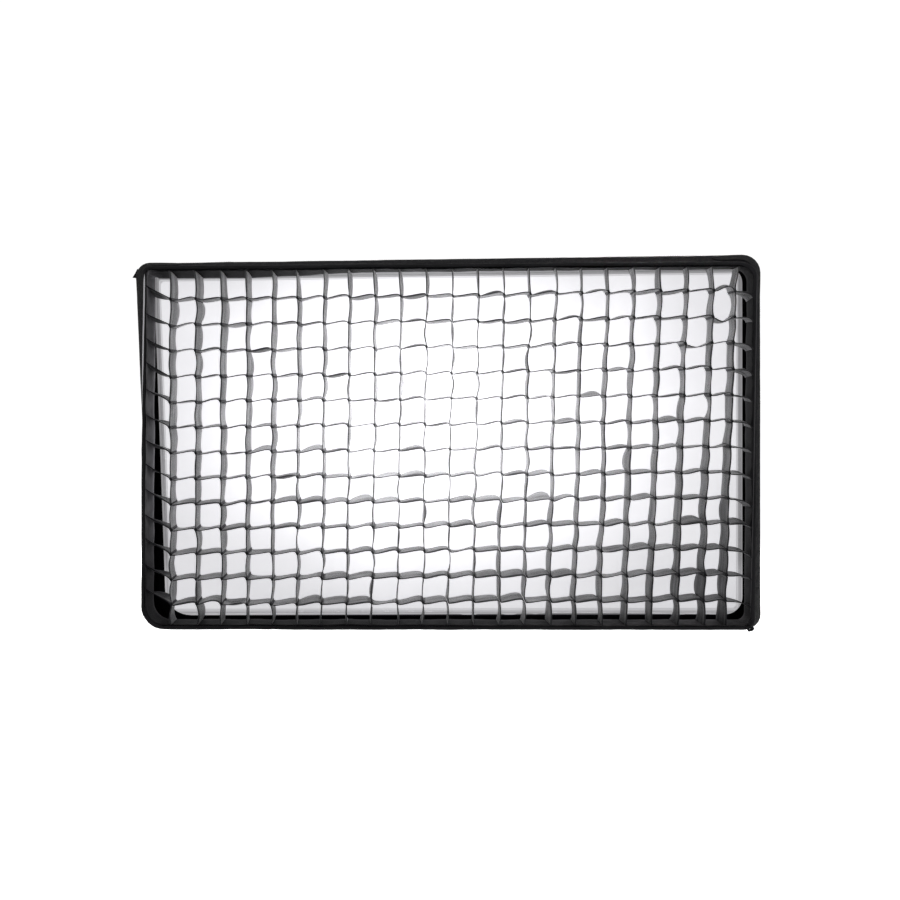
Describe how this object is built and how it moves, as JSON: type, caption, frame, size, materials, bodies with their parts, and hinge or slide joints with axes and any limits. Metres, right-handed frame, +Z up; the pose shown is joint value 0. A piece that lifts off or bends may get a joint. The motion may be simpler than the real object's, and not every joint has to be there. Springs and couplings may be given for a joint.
{
  "type": "rectangular softbox",
  "caption": "Wide rectangular softbox with a recessed lip, a fabric grid, a lit front diffuser and a quick-fold speed ring with hinged rods.",
  "frame": {"origin": "centre of the overall box, on the optical axis", "axes": "+Y points to the lamp and the grid faces -Y, +X is to the right as seen from the front, +Z is up"},
  "size_m": [1.2726, 0.572, 0.7678],
  "materials": {
    "black_nylon": "coated woven nylon, black outside and silver inside",
    "grid_cloth": "thin black nylon strip",
    "binding_tape": "folded black webbing",
    "hook_and_loop": "black hook and loop tape",
    "diffuser_cloth": "white translucent cloth, lit from behind",
    "baffle_cloth": "white translucent cloth",
    "elastic": "flat black elastic",
    "leatherette": "black synthetic leather",
    "cast_alloy": "black powder coat, fine texture",
    "machined_alloy": "turned, satin",
    "steel": "zinc plated",
    "black_plastic": "glass filled nylon, fine spark texture",
    "fibreglass": "pultruded, dark grey"
  },
  "bodies": {
    "adapter": {"lamp_adapter": "machined_alloy"},
    "ring": {"speed_ring": "cast_alloy", "retaining_ring": "machined_alloy", "retaining_screw_1": "steel", "retaining_screw_2": "steel", "retaining_screw_3": "steel", "retaining_screw_4": "steel", "hinge_pin_top_right": "steel", "hinge_pin_top_left": "steel", "hinge_pin_bottom_left": "steel", "hinge_pin_bottom_right": "steel", "button_spring_top_right": "steel", "button_spring_top_left": "steel", "button_spring_bottom_left": "steel", "button_spring_bottom_right": "steel", "rear_collar": "black_nylon", "shell_top": "black_nylon", "shell_bottom": "black_nylon", "shell_left": "black_nylon", "shell_right": "black_nylon", "lip_top": "black_nylon", "lip_bottom": "black_nylon", "lip_left": "black_nylon", "lip_right": "black_nylon", "lip_loop_tape": "hook_and_loop", "diffuser_ledge": "black_nylon", "front_binding": "binding_tape"},
    "rod_top_right": {"rod_socket_top_right": "black_plastic", "rod_top_right": "fibreglass", "corner_pocket_top_right": "leatherette"},
    "rod_top_left": {"rod_socket_top_left": "black_plastic", "rod_top_left": "fibreglass", "corner_pocket_top_left": "leatherette"},
    "rod_bottom_left": {"rod_socket_bottom_left": "black_plastic", "rod_bottom_left": "fibreglass", "corner_pocket_bottom_left": "leatherette"},
    "rod_bottom_right": {"rod_socket_bottom_right": "black_plastic", "rod_bottom_right": "fibreglass", "corner_pocket_bottom_right": "leatherette"},
    "button_top_right": {"release_button_top_right": "black_plastic"},
    "button_top_left": {"release_button_top_left": "black_plastic"},
    "button_bottom_left": {"release_button_bottom_left": "black_plastic"},
    "button_bottom_right": {"release_button_bottom_right": "black_plastic"},
    "lock_stud": {"lock_stud": "steel"},
    "lock_knob": {"lock_knob": "black_plastic"},
    "baffle": {"inner_baffle": "baffle_cloth", "baffle_strap_top_right": "elastic", "baffle_strap_top_left": "elastic", "baffle_strap_bottom_left": "elastic", "baffle_strap_bottom_right": "elastic"},
    "diffuser": {"front_diffuser": "diffuser_cloth", "diffuser_hook_tape": "hook_and_loop"},
    "grid": {"grid_dividers": "grid_cloth", "grid_hook_tape": "hook_and_loop", "grid_pull_tab": "binding_tape"}
  },
  "joints": [
    {"name": "softbox_turn", "type": "hinge", "parent": "adapter", "child": "ring", "pos_m": [0, 0.25955, 0], "axis": [0, 1, 0], "continuous": true},
    {"name": "fold_top_right", "type": "hinge", "parent": "ring", "child": "rod_top_right", "pos_m": [0.05809, 0.23005, 0.03438], "axis": [0.5093, 0, -0.8606], "range_deg": [0, 56], "deforming": ["rear_collar", "shell_top", "shell_bottom", "shell_left", "shell_right", "lip_top", "lip_bottom", "lip_left", "lip_right", "lip_loop_tape", "diffuser_ledge", "front_binding", "inner_baffle", "baffle_strap_top_right", "baffle_strap_top_left", "baffle_strap_bottom_left", "baffle_strap_bottom_right", "diffuser_hook_tape", "front_diffuser", "grid_dividers", "grid_hook_tape", "grid_pull_tab"]},
    {"name": "fold_top_left", "type": "hinge", "parent": "ring", "child": "rod_top_left", "pos_m": [-0.05809, 0.23005, 0.03438], "axis": [0.5093, 0, 0.8606], "range_deg": [0, 56]},
    {"name": "fold_bottom_left", "type": "hinge", "parent": "ring", "child": "rod_bottom_left", "pos_m": [-0.05809, 0.23005, -0.03438], "axis": [-0.5093, 0, 0.8606], "range_deg": [0, 56]},
    {"name": "fold_bottom_right", "type": "hinge", "parent": "ring", "child": "rod_bottom_right", "pos_m": [0.05809, 0.23005, -0.03438], "axis": [-0.5093, 0, -0.8606], "range_deg": [0, 56]},
    {"name": "press_top_right", "type": "slide", "parent": "ring", "child": "button_top_right", "axis": [0, -1, 0], "range_m": [0, 0.0045], "stiffness_N_per_m": 300, "springref_m": -0.002, "deforming": ["button_spring_top_right"]},
    {"name": "press_top_left", "type": "slide", "parent": "ring", "child": "button_top_left", "axis": [0, -1, 0], "range_m": [0, 0.0045], "stiffness_N_per_m": 300, "springref_m": -0.002, "deforming": ["button_spring_top_left"]},
    {"name": "press_bottom_left", "type": "slide", "parent": "ring", "child": "button_bottom_left", "axis": [0, -1, 0], "range_m": [0, 0.0045], "stiffness_N_per_m": 300, "springref_m": -0.002, "deforming": ["button_spring_bottom_left"]},
    {"name": "press_bottom_right", "type": "slide", "parent": "ring", "child": "button_bottom_right", "axis": [0, -1, 0], "range_m": [0, 0.0045], "stiffness_N_per_m": 300, "springref_m": -0.002, "deforming": ["button_spring_bottom_right"]},
    {"name": "lock_travel", "type": "slide", "parent": "ring", "child": "lock_stud", "axis": [0, 0, -1], "range_m": [0, 0.0025]},
    {"name": "lock_turn", "type": "hinge", "parent": "lock_stud", "child": "lock_knob", "pos_m": [0, 0.26255, -0.095], "axis": [0, 0, -1], "range_deg": [0, 720.5]},
    {"name": "baffle_off", "type": "slide", "parent": "ring", "child": "baffle", "axis": [0, -1, 0], "range_m": [0, 0.35]},
    {"name": "diffuser_off", "type": "slide", "parent": "baffle", "child": "diffuser", "axis": [0, -1, 0], "range_m": [0, 0.2]},
    {"name": "grid_off", "type": "slide", "parent": "diffuser", "child": "grid", "axis": [0, -1, 0], "range_m": [0, 0.2]}
  ],
  "couplings": [
    {"joint": "fold_top_left", "follows": "fold_top_right", "ratio": 1},
    {"joint": "fold_bottom_left", "follows": "fold_top_right", "ratio": 1},
    {"joint": "fold_bottom_right", "follows": "fold_top_right", "ratio": 1},
    {"joint": "lock_turn", "follows": "lock_travel", "rad_per_m": 5026.5}
  ]
}
